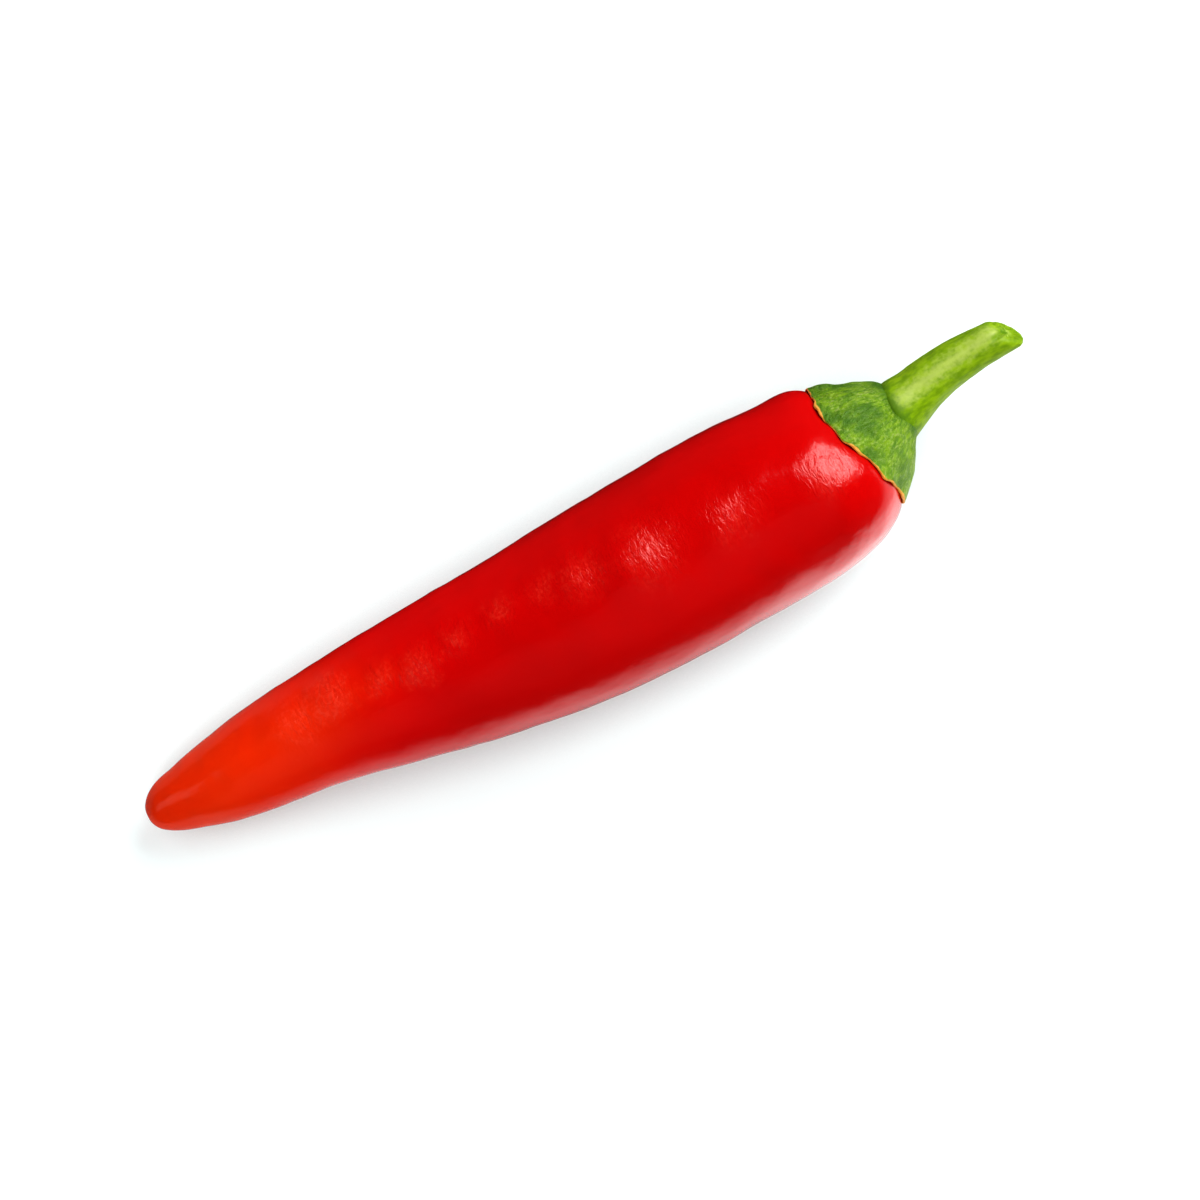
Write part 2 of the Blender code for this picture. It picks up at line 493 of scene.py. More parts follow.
@dataclass(frozen=True)
class RedSkin:
    """The pod's wax-coated skin: deep red, orange towards the tip, finely crinkled across the fruit, with
    painted shade on its lower flank and pale patches of painted sheen.
    """

    red: tuple = colour(0.65, 0.0010, 0.0010)
    cloud_red: tuple = colour(0.61, 0.0006, 0.0008)
    deep_red: tuple = colour(0.44, 0.0003, 0.0008)
    orange_red: tuple = colour(0.79, 0.0480, 0.0010)
    # Pale red of the painted sheen on the crinkled patches.
    pale_tint_and_sheen: tuple = colour(0.84, 0.1000, 0.0550)
    gloss: Gloss = Gloss(ior=1.50, subsurface=0.10)
    crinkle_depth: float = 0.16 * MM
    # Where the skin deepens (with painted shade towards -Y), ripens and gets painted sheen, in shares of the
    # pod's length.
    deepening_and_shade: Fade = Fade(0.25, 0.58, 0, 0.60)
    ripening: Fade = Fade(0.04, 0.40, 0.9, 0)
    painted_sheen_level: Fade = Fade(0.30, 0.70, 0.44, 0.18)
    # Towards -Y the red deepens sooner, as painted shade on the lower flank: a step in Y counts as this many
    # steps in X.
    lower_flank_shade_slant: float = 1.2
    # The orange runs furthest along this Y, narrows beside it, and wavers by this share of the length.
    streak_y: float = 3.5 * MM
    streak_narrowing: float = 1.5
    wander_share: float = 0.12

    def make(self, tip: float, shoulder: float) -> bpy.types.Material:
        """Builds the material.

        Args:
            tip: The pod's lowest X, in metres.
            shoulder: The pod's highest X, in metres.

        Returns:
            The material.
        """
        finish = Finish("red_skin", self.gloss)
        graph = finish.graph
        length = shoulder - tip
        split = graph.split(finish.place)
        clouds = finish.mottled(finish.place, 110.0, self.red, self.cloud_red)
        # Deeper red towards the shoulder, and sooner towards -Y, where it is painted shade.
        deepened_and_shaded = graph.math("SUBTRACT", split["X"], graph.times(split["Y"], self.lower_flank_shade_slant))
        body = graph.blend(graph.fade(deepened_and_shaded, self.deepening_and_shade, tip, length), clouds, self.deep_red)
        wander = graph.times(finish.noise(90.0), self.wander_share * length)
        off_streak = graph.math("ABSOLUTE", graph.math("SUBTRACT", split["Y"], self.streak_y))
        held_back = graph.math("SUBTRACT", graph.times(off_streak, self.streak_narrowing), wander)
        ripened = graph.math("ADD", split["X"], held_back)
        ripe = graph.blend(graph.fade(ripened, self.ripening, tip, length), body, self.orange_red)
        # The crinkle depths also mark where the pale specks of painted sheen go.
        patches = graph.attribute("crinkled")
        specks = graph.ramp(finish.noise(2600.0), 0.44, 0.66)
        sheen_specks = graph.ramp(specks, 0.0, 1.0, 0.36, 1.0)
        ragged = graph.math("ADD", patches, finish.jitter(750.0, 0.9))
        painted_sheen_level = graph.fade(split["X"], self.painted_sheen_level, tip, length)
        painted_sheen = graph.times(sheen_specks, graph.ramp(ragged, 0.18, 1.0, 0, painted_sheen_level))
        base = graph.blend(painted_sheen, ripe, self.pale_tint_and_sheen)
        crinkles = finish.crinkled(finish.stretched((1.0, 0.42, 0.42)), 2300.0, 0.4)
        strength = graph.ramp(patches, 0.0, 0.9, 0.08, 1.0)
        pores = graph.times(finish.noise(5200.0, 1.0), 0.01)
        ripples = graph.times(finish.noise(420.0), 0.45)
        fine = graph.math("ADD", pores, ripples)
        height = graph.math("ADD", graph.times(crinkles, strength), fine)
        roughness = graph.ramp(patches, 0.0, 1.0, 0.16, 0.28)
        return finish.wear(base, roughness, height, self.crinkle_depth)


@dataclass(frozen=True)
class LeafyCap:
    """The calyx's skin: rough grey-green with streaks that run from the stalk to a dry orange rim, and
    painted shade in the crease round the stalk.
    """

    green: tuple = colour(0.205, 0.340, 0.008)
    dark_green: tuple = colour(0.105, 0.225, 0.008)
    pale_tint_and_sheen: tuple = colour(0.35, 0.45, 0.12)
    # Dark green of random patches and of the painted shade round the stalk.
    dark_patch_and_shade_green: tuple = colour(0.060, 0.160, 0.010)
    dry_rim: tuple = colour(0.75, 0.36, 0.07)
    gloss: Gloss = Gloss(ior=1.40)
    wrinkle_depth: float = 0.30 * MM
    # The cap laid flat, for the streaks: how far it is round the rim's middle, and from crown to rim.
    radius: float = 6.5 * MM
    length: float = 4.5 * MM
    # The painted shade in the crease round the stalk and the dry rim, in shares of the way from crown to rim.
    crease_shade: Fade = Fade(0.04, 0.26, 0.6, 0)
    rim: Fade = Fade(0.962, 0.985, 0, 1)

    def make(self, rim_centre: Vector, lean: float) -> bpy.types.Material:
        """Builds the material.

        Args:
            rim_centre: The middle of the calyx's rim.
            lean: How far its axis turns from X towards Y, in radians.

        Returns:
            The material.
        """
        finish = Finish("leafy_cap", self.gloss)
        graph = finish.graph
        reach = graph.attribute("reach")
        local = finish.local(rim_centre, lean)
        level = graph.add("CombineXYZ", {"X": 0.0, "Y": local["Y"], "Z": local["Z"]}).outputs[0]
        heading = graph.add("VectorMath", {0: level}, operation="NORMALIZE").outputs[0]
        spoke = graph.add("VectorMath", {0: heading, "Scale": self.radius}, operation="SCALE").outputs[0]
        round_axis = graph.split(spoke)
        down = graph.times(reach, self.length)
        streak = graph.add("CombineXYZ", {"X": down, "Y": round_axis["Y"], "Z": round_axis["Z"]}).outputs[0]
        body = finish.mottled(streak, 1900.0, self.green, self.dark_green)
        veins = graph.ramp(graph.noise(streak, 3300.0, 3.0), 0.50, 0.68)
        flecks = graph.ramp(finish.noise(700.0), 0.36, 0.60)
        dots = graph.ramp(finish.noise(3600.0, 1.0), 0.52, 0.70, 0, 0.45)
        bloomed = graph.math("MAXIMUM", graph.times(veins, flecks, 0.75), dots)
        dusted = graph.blend(bloomed, body, self.pale_tint_and_sheen)
        shade = graph.ramp(finish.noise(330.0), 0.46, 0.64, 0, 0.75)
        patchy = graph.blend(shade, dusted, self.dark_patch_and_shade_green)
        # Painted shade in the crease round the stalk.
        crease_shaded = graph.blend(graph.fade(reach, self.crease_shade, unit=1), patchy, self.dark_patch_and_shade_green)
        frayed = graph.math("ADD", reach, finish.jitter(420.0, 0.22, 3.0))
        base = graph.blend(graph.fade(frayed, self.rim, unit=1), crease_shaded, self.dry_rim)
        wrinkles = finish.crinkled(streak, 2500.0, 0.2)
        grain = finish.crinkled(finish.place, 3200.0, 0.3)
        height = graph.math("ADD", wrinkles, graph.times(grain, 0.45))
        roughness = graph.ramp(finish.noise(700.0), 0.3, 0.7, 0.40, 0.55)
        return finish.wear(base, roughness, height, self.wrinkle_depth)


@dataclass(frozen=True)
class StalkRind:
    """The stalk's rind: bright yellow-green with faint fibres along it, a pale band of painted highlight
    along its top, and painted shade at its root and in its split.
    """

    green: tuple = colour(0.255, 0.395, 0.002)
    deep_green: tuple = colour(0.165, 0.285, 0.001)
    # Pale colour of the painted highlight band along the top.
    pale: tuple = colour(0.45, 0.53, 0.15)
    # Dark green of the painted shade at the stalk's root.
    root_shade: tuple = colour(0.090, 0.200, 0.004)
    gloss: Gloss = Gloss(ior=1.40, coat=0.05)
    fibre_depth: float = 0.09 * MM
    # The scale along the stalk of the grains and of the fibres, which are longer than wide.
    grain_scale: float = 0.40
    fibre_scale: float = 0.14
    # The painted highlight band fades to its sides and below, and the painted shade at the root along the
    # stalk, in millimetres.
    sheen_band_side: Fade = Fade(-0.20, 1.50, 0.70, 0)
    sheen_band_level: Fade = Fade(-1.6, -0.4, 0, 1)
    root_shade_end: Fade = Fade(-2.0, -0.7, 0.85, 0)

    def make(self, sheen_band_start: Vector, sheen_band_end: Vector) -> bpy.types.Material:
        """Builds the material.

        Args:
            sheen_band_start: Where the pale band of painted highlight on the stalk's top leaves the calyx.
            sheen_band_end: Where the band meets the cut.

        Returns:
            The material.
        """
        finish = Finish("stalk_rind", self.gloss)
        graph = finish.graph
        run = sheen_band_end - sheen_band_start
        turn = math.atan2(run.y, run.x)
        local = finish.local(sheen_band_start, turn)
        fibres = finish.stretched((self.fibre_scale, 1.0, 1.0), -turn)
        grains = finish.stretched((self.grain_scale, 1.0, 1.0), -turn)
        body = finish.mottled(grains, 2300.0, self.green, self.deep_green)
        ragged = finish.jitter(2300.0, 2.0 * MM, 4.0)
        beside = graph.math("ADD", graph.math("ABSOLUTE", local["Y"]), ragged)
        # A pale band of painted highlight along the stalk's top.
        sheen_band = graph.times(graph.fade(beside, self.sheen_band_side), graph.fade(local["Z"], self.sheen_band_level))
        sheen_banded = graph.blend(sheen_band, body, self.pale)
        # The dark root is painted shade in the crease where the stalk meets the calyx.
        root_shade = graph.fade(graph.math("ADD", local["X"], ragged), self.root_shade_end)
        root_shaded = graph.blend(root_shade, sheen_banded, self.root_shade)
        # Darker green in and round the split is painted shade.
        split_shade = graph.ramp(graph.attribute("split"), 0.35, 0.90, 0, 0.8)
        base = graph.blend(split_shade, root_shaded, self.deep_green)
        height = finish.crinkled(fibres, 2400.0, 0.4)
        roughness = graph.ramp(finish.noise(600.0), 0.3, 0.7, 0.42, 0.55)
        return finish.wear(base, roughness, height, self.fibre_depth)


@dataclass(frozen=True)
class CutFlesh:
    """The stalk's cut end: pale ragged fibres round the split, which is darkened with painted shade."""

    green: tuple = colour(0.24, 0.38, 0.01)
    pale: tuple = colour(0.37, 0.50, 0.09)
    # Dark green of the painted shade in the split.
    split_shade_green: tuple = colour(0.125, 0.250, 0.001)
    gloss: Gloss = Gloss(ior=1.38)
    fibre_depth: float = 0.12 * MM

    def make(self) -> bpy.types.Material:
        """Builds the material.

        Returns:
            The material.
        """
        finish = Finish("cut_flesh", self.gloss)
        graph = finish.graph
        # Darker green in and round the split is painted shade.
        split_shade = graph.ramp(graph.attribute("split"), 0.35, 0.70)
        fresh = finish.mottled(finish.place, 1300.0, self.green, self.pale)
        base = graph.blend(split_shade, fresh, self.split_shade_green)
        height = finish.crinkled(finish.place, 3500.0, 0.2)
        roughness = graph.ramp(finish.noise(1500.0), 0.3, 0.7, 0.4, 0.6)
        return finish.wear(base, roughness, height, self.fibre_depth)


@dataclass(frozen=True)
class Mark:
    """A bulge, a dent, or a patch of crinkles that also gets painted sheen, on the pod.

    Its place is a share of the way from tip to shoulder, and a turn from the top towards +Y in degrees.
    Its height and reach are in millimetres, but crinkles have a height of about 1.
    """

    along: float
    turn: float
    height: float
    reach: float


@dataclass
class Pod:
    """The red fruit."""

    node: Object
    piece: Object = field(init=False)
    skin: RedSkin = RedSkin()
    sides: int = 40
    rings: int = 60
    levels: int = 2
    unevenness: tuple[Relief, ...] = (Relief(9.0, 0.30), Relief(3.2, 0.13))
    shoulder_lobes: tuple[Mark, ...] = (
        Mark(0.94, 34, -0.55, 8.0), Mark(0.93, -30, 0.30, 7.0),
        Mark(0.92, 138, 0.35, 7.0), Mark(0.92, -112, -0.25, 7.0),
        Mark(0.90, 76, -0.25, 8.0), Mark(0.88, -48, -0.25, 8.0),
        Mark(0.955, 92, 1.05, 6.0), Mark(0.36, 92, 0.35, 14.0),
        Mark(0.025, 90, 0.28, 3.0), Mark(0.025, -90, 0.22, 3.0),
        Mark(0.020, 10, 0.08, 3.0),
    )
    ridge_bulges: tuple[Mark, ...] = (
        Mark(0.195, 22, 0.12, 3.2), Mark(0.26, 24, 0.12, 3.2),
        Mark(0.38, 20, 0.10, 3.2), Mark(0.50, 24, 0.06, 3.2),
        Mark(0.59, 18, 0.16, 2.8), Mark(0.66, 12, 0.34, 4.6),
        Mark(0.78, 6, 0.22, 3.8),
    )
    # Patches of crinkles, which also carry the skin's painted sheen.
    patches: tuple[Mark, ...] = (
        Mark(0.215, 17, 0.90, 4.4), Mark(0.265, 24, 1.00, 4.4), Mark(0.33, 20, 0.70, 3.4),
        Mark(0.38, 15, 0.90, 3.8), Mark(0.435, 23, 0.75, 3.4), Mark(0.50, 26, 0.75, 3.4),
        Mark(0.555, 24, 0.75, 3.4), Mark(0.605, 18, 1.00, 4.4), Mark(0.69, 11, 1.00, 5.6),
        Mark(0.80, 4, 0.90, 4.8), Mark(0.925, 0, 1.10, 4.0), Mark(0.945, 2, 0.55, 5.4),
    )

    def build(self) -> None:
        """Lofts the pod through sections of its CAD node and swells it."""
        shares = [(1 - math.cos(math.pi * (i + 1) / (self.rings + 1))) / 2 for i in range(self.rings)]
        sections = [self.section(share) for share in shares]
        bench = Bench("chilli_pod", self.sides, sections[0])
        for section in sections[1:]:
            bench.add_ring(section)
        bench.close()
        self.swell(bench, self.shoulder_lobes)
        bench.rest()
        bench.smooth(self.levels)
        for relief in self.unevenness:
            bench.swell(relief)
        bench.edit()
        self.swell(bench, self.ridge_bulges)
        bench.pick(lambda spot: spot.z < 0)
        bpy.ops.transform.resize(value=(1, 1, 0), center_override=(0, 0, 0))
        bench.rest()
        bpy.ops.object.shade_smooth()
        self.piece = bench.piece
        self.mark_crinkles_and_sheen()

    def section(self, along: float) -> Section:
        """The CAD pod's outline at a share of the way from the tip to the shoulder."""
        low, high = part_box("pod")
        return cut_across(self.node, low.x + along * (high.x - low.x))

    def swell(self, bench: Bench, marks: tuple[Mark, ...]) -> None:
        """Raises bulges and sinks dents.

        Args:
            bench: The pod under work, in edit mode.
            marks: The bulges and dents.
        """
        for mark in marks:
            section = self.section(mark.along)
            push = section.outward(mark.turn) * (mark.height * MM)
            bench.press(section.rim(mark.turn), push, mark.reach * MM)

    def mark_crinkles_and_sheen(self) -> None:
        """Writes how deep the skin's crinkles are at each vertex, which also sets how strong their painted
        sheen is.
        """
        mesh = self.piece.data
        depths = [0.0] * len(mesh.vertices)
        for patch in self.patches:
            centre = self.section(patch.along).rim(patch.turn)
            for index, vert in enumerate(mesh.vertices):
                share = 1 - (vert.co - centre).length / (patch.reach * MM)
                depths[index] = max(depths[index], patch.height * share)
        mesh.attributes.new("crinkled", "FLOAT", "POINT").data.foreach_set("value", depths)

    def dress(self) -> None:
        """Gives the pod its skin and its place in the frame."""
        piece = self.piece
        low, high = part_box("pod")
        piece.data.materials.append(self.skin.make(low.x, high.x))
        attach(piece, BODY)
        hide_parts("pod")


@dataclass(frozen=True)
class Tooth:
    """A point of the calyx's rim: its turn as for a mark, and its reach and half width in millimetres."""

    turn: float
    reach: float
    width: float


@dataclass
class Calyx:
    """The green cap of fused sepals."""

    piece: Object = field(init=False)
    skin: LeafyCap = LeafyCap()
    sides: int = 72
    lean: float = math.radians(14)
    thickness: float = 0.30 * MM
    # The outside, crown first: share of the way to the rim, and share of the rim's half width.
    flare: tuple[tuple[float, float], ...] = (
        (0.00, 0.33), (0.06, 0.405), (0.13, 0.45), (0.23, 0.505),
        (0.32, 0.57), (0.415, 0.64), (0.51, 0.72), (0.605, 0.81),
        (0.70, 0.88), (0.80, 0.925), (0.90, 0.965), (1.00, 1.00),
    )
    teeth: tuple[Tooth, ...] = (
        Tooth(90, 0.20, 1.9), Tooth(45, 0.40, 1.9), Tooth(8, 0.45, 2.2),
        Tooth(-33, 0.35, 2.0), Tooth(-78, 0.55, 2.2), Tooth(-132, 0.60, 2.4),
        Tooth(176, 0.50, 2.2), Tooth(130, 0.60, 2.4), Tooth(24, -0.20, 1.0),
        Tooth(-14, -0.15, 0.9), Tooth(-56, -0.20, 1.2), Tooth(68, -0.20, 1.0),
    )
    # As a tooth reaches down the pod, it also goes outwards by this share.
    tooth_flare: float = 0.8
    # The teeth that stand off the pod.
    lifted: tuple[Tooth, ...] = (Tooth(88, 0.60, 2.0), Tooth(-100, 0.25, 2.0), Tooth(30, 0.15, 1.2))
    rim_x_share: float = 0.27
    rim_y_share: float = 0.53
    crown_x: float = 0.2 * MM
    # The crown dips here, over the stalk's foot.
    crown_notch: float = 0.9 * MM
    notch_reach: float = 2.3 * MM
    # The crown's two sides lean towards +Y by this much, at this ring.
    crown_shift: float = 0.45 * MM
    shift_reach: float = 2.4 * MM
    shift_ring: int = 3
    # The shares of the way to the rim where the cap starts to lie on the pod, and where its rim frays.
    lying_from: float = 0.45
    frayed_from: float = 0.80
    fraying: Relief = Relief(1.2, 0.80, way=Way.ALONG)
    wrinkles: tuple[Relief, ...] = (Relief(1.9, 0.30), Relief(0.8, 0.14))

    def middle(self) -> Vector:
        """The middle of the rim."""
        low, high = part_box("calyx")
        size = high - low
        return low + Vector((self.rim_x_share * size.x, self.rim_y_share * size.y, 0.5 * size.z))

    def build(self, pod: Object) -> None:
        """Flares the cap out from the stalk, pulls its teeth down the pod and gives it a thickness.

        Args:
            pod: The finished pod, which the rim lies on.
        """
        low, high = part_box("calyx")
        centre = self.middle()
        radius = (high.y - low.y) / 2
        height = (high.x + self.crown_x - centre.x) / math.cos(self.lean)
        rings = [
            Section(centre.x + (1 - share) * height, centre.y, centre.z, width * radius, width * radius)
            for share, width in self.flare
        ]
        rim = rings[-1]
        bench = Bench("chilli_calyx", self.sides, rings[0])
        for section in rings[1:]:
            bench.add_ring(section)
        bench.turn_outwards()
        bench.press(rings[0].rim(0.0), Vector((-self.crown_notch, 0, 0)), self.notch_reach)
        for side in (90, -90):
            bench.press(rings[self.shift_ring].rim(side), Vector((0, self.crown_shift, 0)), self.shift_reach)
        for tooth in self.teeth:
            reach = tooth.reach * MM
            push = Vector((-reach, 0, 0)) + rim.outward(tooth.turn) * reach * self.tooth_flare
            bench.press(rim.rim(tooth.turn), push, tooth.width * MM)
        bpy.ops.mesh.select_all(action="SELECT")
        bpy.ops.transform.rotate(value=-self.lean, orient_axis="Z", center_override=centre)
        bench.rest()
        self.piece = bench.piece
        self.mark_reach()
        wrap = {"wrap_method": "NEAREST_SURFACEPOINT", "wrap_mode": "ABOVE_SURFACE"}
        bench.apply("SHRINKWRAP", target=pod, vertex_group="lying", **wrap)
        bench.edit()
        for tooth in self.lifted:
            push = rim.outward(tooth.turn) * (tooth.reach * MM)
            bench.press(rim.rim(tooth.turn), push, tooth.width * MM)
        bench.rest()
        bench.smooth(1)
        bench.swell(self.fraying, "frayed")
        for relief in self.wrinkles:
            bench.swell(relief, "relief")
        bench.apply("SOLIDIFY", thickness=self.thickness, offset=1.0, use_rim=True)
        bench.smooth(1)
        bpy.ops.object.shade_smooth()

    def mark_reach(self) -> None:
        """Writes how far down from the crown each ring lies, and the groups that limit the later steps."""
        shares = [share for share, _ in self.flare for _ in range(self.sides)]
        self.piece.data.attributes.new("reach", "FLOAT", "POINT").data.foreach_set("value", shares)
        groups = self.piece.vertex_groups
        lying, relief, frayed = (groups.new(name=name) for name in ("lying", "relief", "frayed"))
        for index, share in enumerate(shares):
            lying.add([index], max(0.0, (share - self.lying_from) / (1 - self.lying_from)), "REPLACE")
            relief.add([index], min(1.0, 4 * share, 0.35 + 3 * (1 - share)), "REPLACE")
            frayed.add([index], max(0.0, (share - self.frayed_from) / (1 - self.frayed_from)), "REPLACE")

    def dress(self) -> None:
        """Gives the cap its skin and its place in the frame."""
        piece = self.piece
        piece.data.materials.append(self.skin.make(self.middle(), self.lean))
        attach(piece, BODY)
        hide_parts("calyx")


@dataclass
class Stalk:
    """The short cut stalk."""

    node: Object
    piece: Object = field(init=False)
    rind: StalkRind = StalkRind()
    flesh: CutFlesh = CutFlesh()
    sides: int = 20
    rings: int = 13
    unevenness: Relief = Relief(2.2, 0.16)
    # The flare into the calyx, in millimetres before the first measured section and in its widths.
    root: tuple[tuple[float, float], ...] = ((2.6, 1.12), (1.9, 1.16), (1.4, 1.13), (0.7, 1.06))
    # The first and the last measured section: how far from the stalk's two ends.
    first_x: float = 2.2 * MM
    last_x: float = 3.6 * MM
    # The end that the cut takes off: how far past the last section, and in its widths.
    spare: tuple[float, float] = (5.0 * MM, 0.9)
    cut_x: float = 1.45 * MM
    cut_lean: float = math.radians(31)
    cut_pitch: float = math.radians(24)
    # The rings of the cut face, outside in: how much smaller than the last.
    cut_rings: tuple[float, ...] = (0.88, 0.80, 0.70)
    torn: Relief = Relief(0.9, 0.22, Grain.BROKEN)
    # The cut's edge is rounded off by this much.
    blunting: float = 0.35 * MM
    blunting_rounds: int = 6
    # The split along the top, from its start to its end: how far before the stalk's end.
    split_span: tuple[float, float] = (3.0 * MM, 1.1 * MM)
    split_steps: int = 8
    split_depth: float = 0.24 * MM
    split_reach: float = 0.42 * MM
    # The painted highlight band's turn from the top, in degrees, at the first and at the last section.
    sheen_band_turns: tuple[float, float] = (12, 20)
    edge_angle: float = math.radians(40)

    def build(self) -> None:
        """Lofts the stalk through sections of its CAD node, flares its root and cuts its end."""
        low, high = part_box("stalk")
        first, last = low.x + self.first_x, high.x - self.last_x
        step = (last - first) / (self.rings - 1)
        sections = [cut_across(self.node, first + i * step) for i in range(self.rings)]
        flare = [self.beyond(sections[0], sections[1], before * MM, growth) for before, growth in self.root]
        bench = Bench("chilli_stalk", self.sides, flare[0])
        for section in flare[1:] + sections:
            bench.add_ring(section)
        bench.add_ring(self.beyond(sections[-1], sections[-2], *self.spare))
        bench.close()
        bench.rest()
        bench.smooth(2)
        bench.swell(self.unevenness)
        for _ in (self.rind, self.flesh):
            bench.piece.data.materials.append(None)
        end = self.beyond(sections[-1], sections[-2], high.x - self.cut_x - last, 1.0)
        self.cut(bench, end.centre)
        bench.swell(self.torn, "cut")
        self.split(bench, end.centre)
        bpy.ops.object.shade_smooth_by_angle(angle=self.edge_angle)
        self.piece = bench.piece

    def beyond(self, end: Section, before: Section, distance: float, growth: float) -> Section:
        """A section past an end one, in line with the one before it, and wider than the end one."""
        centre = end.centre + (end.centre - before.centre) * (distance / abs(end.x - before.x))
        return Section(*centre, end.half_width * growth, end.half_height * growth)

    def facing(self) -> Vector:
        """The way that the cut faces."""
        lean, pitch = self.cut_lean, self.cut_pitch
        return Vector((math.cos(pitch) * math.cos(lean), math.cos(pitch) * math.sin(lean), math.sin(pitch)))

    def cut(self, bench: Bench, middle: Vector) -> None:
        """Cuts the stalk's end off on a slant.

        Args:
            bench: The stalk under work, in object mode.
            middle: The middle of the cut.
        """
        bench.edit()
        bpy.ops.mesh.select_all(action="SELECT")
        bpy.ops.mesh.bisect(plane_co=middle, plane_no=self.facing(), use_fill=True, clear_outer=True)
        bpy.ops.mesh.select_mode(type="FACE")
        bpy.ops.mesh.select_all(action="DESELECT")
        bpy.ops.mesh.select_face_by_sides(number=8, type="GREATER", extend=False)
        bench.piece.active_material_index = 1
        bpy.ops.object.material_slot_assign()
        for shrink in self.cut_rings:
            bpy.ops.mesh.extrude_region()
            bpy.ops.transform.resize(value=(shrink, shrink, shrink), center_override=middle)
        bpy.ops.mesh.poke()
        bpy.ops.mesh.select_all(action="DESELECT")
        bpy.ops.object.material_slot_select()
        bpy.ops.object.vertex_group_assign_new()
        bench.piece.vertex_groups.active.name = "cut"
        bench.pick(lambda spot: (spot - middle).dot(self.facing()) > -self.blunting)
        bpy.ops.mesh.vertices_smooth(factor=0.5, repeat=self.blunting_rounds)
        bench.rest()

    def split(self, bench: Bench, middle: Vector) -> None:
        """Opens the short split along the top and into the cut, and writes how near it each vertex is, which
        sets the painted shade in the split.

        Args:
            bench: The stalk under work, in object mode.
            middle: The middle of the cut.
        """
        end_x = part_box("stalk")[1].x
        start, end = (cut_across(self.node, end_x - back).rim(0.0) for back in self.split_span)
        facing = self.facing()
        inward = -(facing + Vector((0, 0, 1))).normalized()
        bench.edit()
        for step in range(self.split_steps):
            place = start.lerp(end, step / (self.split_steps - 1))
            level = Vector((place.x - middle.x, place.y - middle.y, 0)).dot(facing)
            place.z = min(place.z, middle.z - level / facing.z)
            bench.press(place, inward * self.split_depth, self.split_reach)
        bench.rest()
        run = (end - start).to_2d()
        nearness = []
        for vert in bench.piece.data.vertices:
            offset = (vert.co - start).to_2d()
            share = min(1.0, max(0.0, offset.dot(run) / run.length_squared))
            near = 1 - (offset - run * share).length / (2 * self.split_reach)
            nearness.append(near if vert.co.z > middle.z - self.split_reach else 0.0)
        bench.piece.data.attributes.new("split", "FLOAT", "POINT").data.foreach_set("value", nearness)

    def dress(self) -> None:
        """Gives the stalk its rind, its cut end's flesh and its place in the frame."""
        piece = self.piece
        low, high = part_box("stalk")
        sheen_band_start = cut_across(self.node, low.x + self.first_x).rim(self.sheen_band_turns[0])
        sheen_band_end = cut_across(self.node, high.x - self.last_x).rim(self.sheen_band_turns[1])
        piece.data.materials[0] = self.rind.make(sheen_band_start, sheen_band_end)
        piece.data.materials[1] = self.flesh.make()
        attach(piece, BODY)
        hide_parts("stalk")


@dataclass(frozen=True)
class Softbox:
    """One lamp: how far it leans to the picture's right and top, its side, its radiance and its glints."""

    name: str
    right: float
    up: float
    side: float
    radiance: float
    mirrored: bool


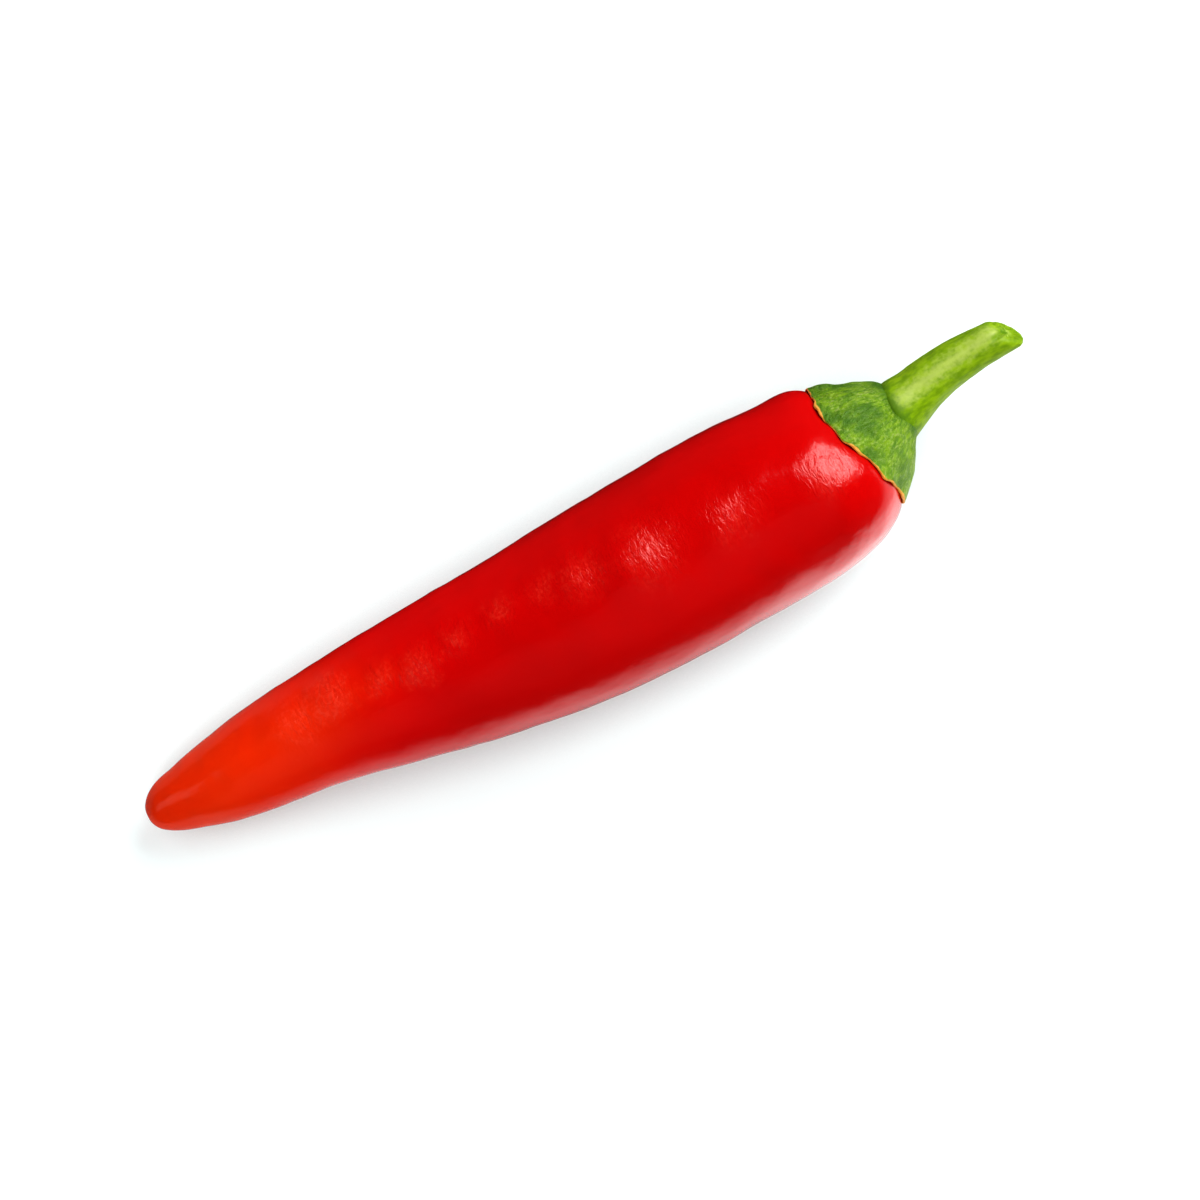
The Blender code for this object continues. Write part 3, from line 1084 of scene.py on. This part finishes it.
@dataclass(frozen=True)
class Table:
    """The glowing white table: how it looks to the camera, to glossy rays and to all other rays."""

    size: float = 6.0
    white: tuple = colour(0.86, 0.86, 0.86)
    glow: float = 0.10
    # To the camera: a dimmer white, and a glow that falls where the object closes the table in.
    seen_white: tuple = colour(0.36, 0.44, 0.44)
    seen_glow: float = 0.26
    bleach: float = 0.19
    foot_reach: float = 9.0 * MM
    openness: tuple[float, float] = (0.53, 0.70)
    # To glossy rays: next to no white, and a glow in steps along X, across Y and away from the middle.
    mirrored_white: tuple = colour(0.02, 0.02, 0.02)
    mirrored_glow: float = 0.95
    along: tuple[Fade, ...] = (Fade(5, 30, 1, 2.3), Fade(34, 54, 1, 0.55), Fade(-46, -14, 0.4, 1))
    near_y: float = -6.0 * MM
    far_y: float = 8.0 * MM
    far_level: Fade = Fade(-44, -26, 0.6, 0)
    pool_stretch: tuple[float, float, float] = (0.25, 1, 0)
    pool_start: float = 9.0 * MM
    pool_full: float = 19.0 * MM
    pool_end: Fade = Fade(19, 80, 1, 0.05)
    close_level: Fade = Fade(-40, -8, 0.85, 0.3)

    def reflection(self, finish: Finish) -> Socket:
        """The glow that the glossy skin mirrors: a band on the table's near side.

        Args:
            finish: The table's material.

        Returns:
            The glow's strength.
        """
        graph = finish.graph
        split = graph.split(finish.place)
        oval = finish.stretched(self.pool_stretch)
        away = graph.add("VectorMath", {0: oval}, operation="LENGTH").outputs["Value"]
        along = graph.times(*(graph.fade(split["X"], step) for step in self.along))
        far_level = graph.fade(split["X"], self.far_level)
        near_side = graph.ramp(split["Y"], self.near_y, self.far_y, 1, far_level)
        close_level = graph.fade(split["X"], self.close_level)
        opening = graph.ramp(away, self.pool_start, self.pool_full, close_level, 1)
        pool = graph.times(opening, graph.fade(away, self.pool_end))
        return graph.times(near_side, along, pool, self.mirrored_glow)

    def lay(self) -> None:
        """Lays the table under the chilli."""
        bpy.ops.object.select_all(action="DESELECT")
        bpy.ops.mesh.primitive_plane_add(size=self.size)
        table = bpy.context.object
        table.name = "table"
        finish = Finish("white_table", Gloss(ior=1.50))
        graph, sockets = finish.graph, finish.shader.inputs
        sockets["Roughness"].default_value = 0.9
        sockets["Specular IOR Level"].default_value = 0.1
        sockets["Emission Color"].default_value = colour(1, 1, 1)
        rays = graph.add("LightPath").outputs
        seen, mirrored = rays["Is Camera Ray"], rays["Is Glossy Ray"]
        openness = graph.add("AmbientOcclusion", {"Distance": self.foot_reach}, samples=8).outputs["AO"]
        lit = graph.ramp(openness, *self.openness, self.seen_glow, self.seen_glow + self.bleach)
        glow = graph.switch(mirrored, graph.switch(seen, self.glow, lit), self.reflection(finish))
        plain = graph.blend(seen, self.white, self.seen_white)
        graph.feed(sockets["Base Color"], graph.blend(mirrored, plain, self.mirrored_white))
        graph.feed(sockets["Emission Strength"], glow)
        finish.material.cycles.emission_sampling = "NONE"
        table.data.materials.append(finish.material)
        table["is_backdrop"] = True


@dataclass
class Studio:
    """The table, the softboxes, the surroundings and the camera."""

    centre: Vector
    table: Table = Table()
    view_turn: float = math.radians(-29)
    lens: float = 400.0
    frame_width: float = 112 * MM
    # The room's glow, from the level of the table upwards.
    room: Fade = Fade(0.0, 0.6, 0.06, 0.03)
    lamp_distance: float = 2.2
    # A lamp is even up to this far from its middle, and soft from there to its edge at 0.5.
    lamp_core: float = 0.36
    lamps: tuple[Softbox, ...] = (
        Softbox("key_softbox", 0.46, 0.65, 2.1, 5.9, True),
        Softbox("left_card", -0.86, -0.20, 1.0, 0.6, True),
        Softbox("low_fill", 0.10, -0.70, 2.4, 1.9, False),
        Softbox("left_fill", -0.80, -0.30, 2.0, 0.4, False),
    )

    def hang(self, softbox: Softbox) -> None:
        """Hangs one softbox so that it faces the object.

        Args:
            softbox: Where it hangs, how large and how bright it is.
        """
        level = Matrix.Rotation(self.view_turn, 3, "Z") @ Vector((softbox.right, softbox.up, 0))
        direction = level + Vector((0, 0, math.sqrt(1 - level.length_squared)))
        data = bpy.data.lights.new(softbox.name, "AREA")
        data.shape = "SQUARE"
        data.size = softbox.side
        data.energy = softbox.radiance * math.pi * softbox.side**2
        data.use_nodes = True
        graph = Graph(data.node_tree)
        spot = graph.add("NewGeometry").outputs["Parametric"]
        offset = graph.add("VectorMath", {0: spot, 1: (0.5, 0.5, 0.0)}, operation="SUBTRACT").outputs[0]
        apart = graph.split(offset)
        veils = [graph.ramp(graph.math("ABSOLUTE", apart[axis]), self.lamp_core, 0.5, 1, 0) for axis in "XY"]
        graph.feed(data.node_tree.nodes["Emission"].inputs["Strength"], graph.times(*veils))
        lamp = bpy.data.objects.new(softbox.name, data)
        lamp.location = self.centre + direction * self.lamp_distance
        lamp.rotation_euler = direction.to_track_quat("Z", "Y").to_euler()
        lamp.visible_camera = False
        lamp.visible_glossy = softbox.mirrored
        bpy.context.scene.collection.objects.link(lamp)

    def surround(self) -> None:
        """Makes the room: white to the camera, a faint glow to all else."""
        world = bpy.data.worlds.new("room")
        bpy.context.scene.world = world
        world.use_nodes = True
        graph = Graph(world.node_tree)
        up = graph.split(graph.add("TexCoord").outputs["Generated"])["Z"]
        seen = graph.add("LightPath").outputs["Is Camera Ray"]
        strength = graph.switch(seen, graph.fade(up, self.room, unit=1), 1.0)
        background = world.node_tree.nodes["Background"]
        background.inputs["Color"].default_value = colour(1, 1, 1)
        graph.feed(background.inputs["Strength"], strength)

    def aim_camera(self) -> None:
        """Looks straight down on the chilli from above its middle."""
        data = bpy.data.cameras.new("camera")
        data.lens = self.lens
        distance = self.frame_width * data.lens / data.sensor_width
        camera = bpy.data.objects.new("camera", data)
        camera.location = self.centre + Vector((0, 0, distance))
        camera.rotation_euler.z = self.view_turn
        bpy.context.scene.collection.objects.link(camera)
        bpy.context.scene.camera = camera

    def build(self) -> None:
        """Sets the whole stage."""
        self.table.lay()
        self.surround()
        for softbox in self.lamps:
            self.hang(softbox)
        self.aim_camera()
        bpy.context.scene.view_settings.view_transform = "Standard"
        bpy.context.scene.view_settings.look = "High Contrast"


def main() -> None:
    """Builds the chilli's pieces around the frame and sets the stage."""
    logging.basicConfig(level=logging.INFO, format="%(name)s: %(message)s")
    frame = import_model()
    cad_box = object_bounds()
    nodes = frame["nodes"]
    SharedEffects().build()

    pod = Pod(nodes["pod"])
    pod.build()
    pod.dress()

    calyx = Calyx()
    calyx.build(pod.piece)
    calyx.dress()

    stalk = Stalk(nodes["stalk"])
    stalk.build()
    stalk.dress()
    for part in (pod, calyx, stalk):
        LOG.info("%s: %d faces", part.piece.name, len(part.piece.data.polygons))

    low, high = cad_box
    Studio((low + high) / 2).build()


if __name__ == "__main__":
    main()
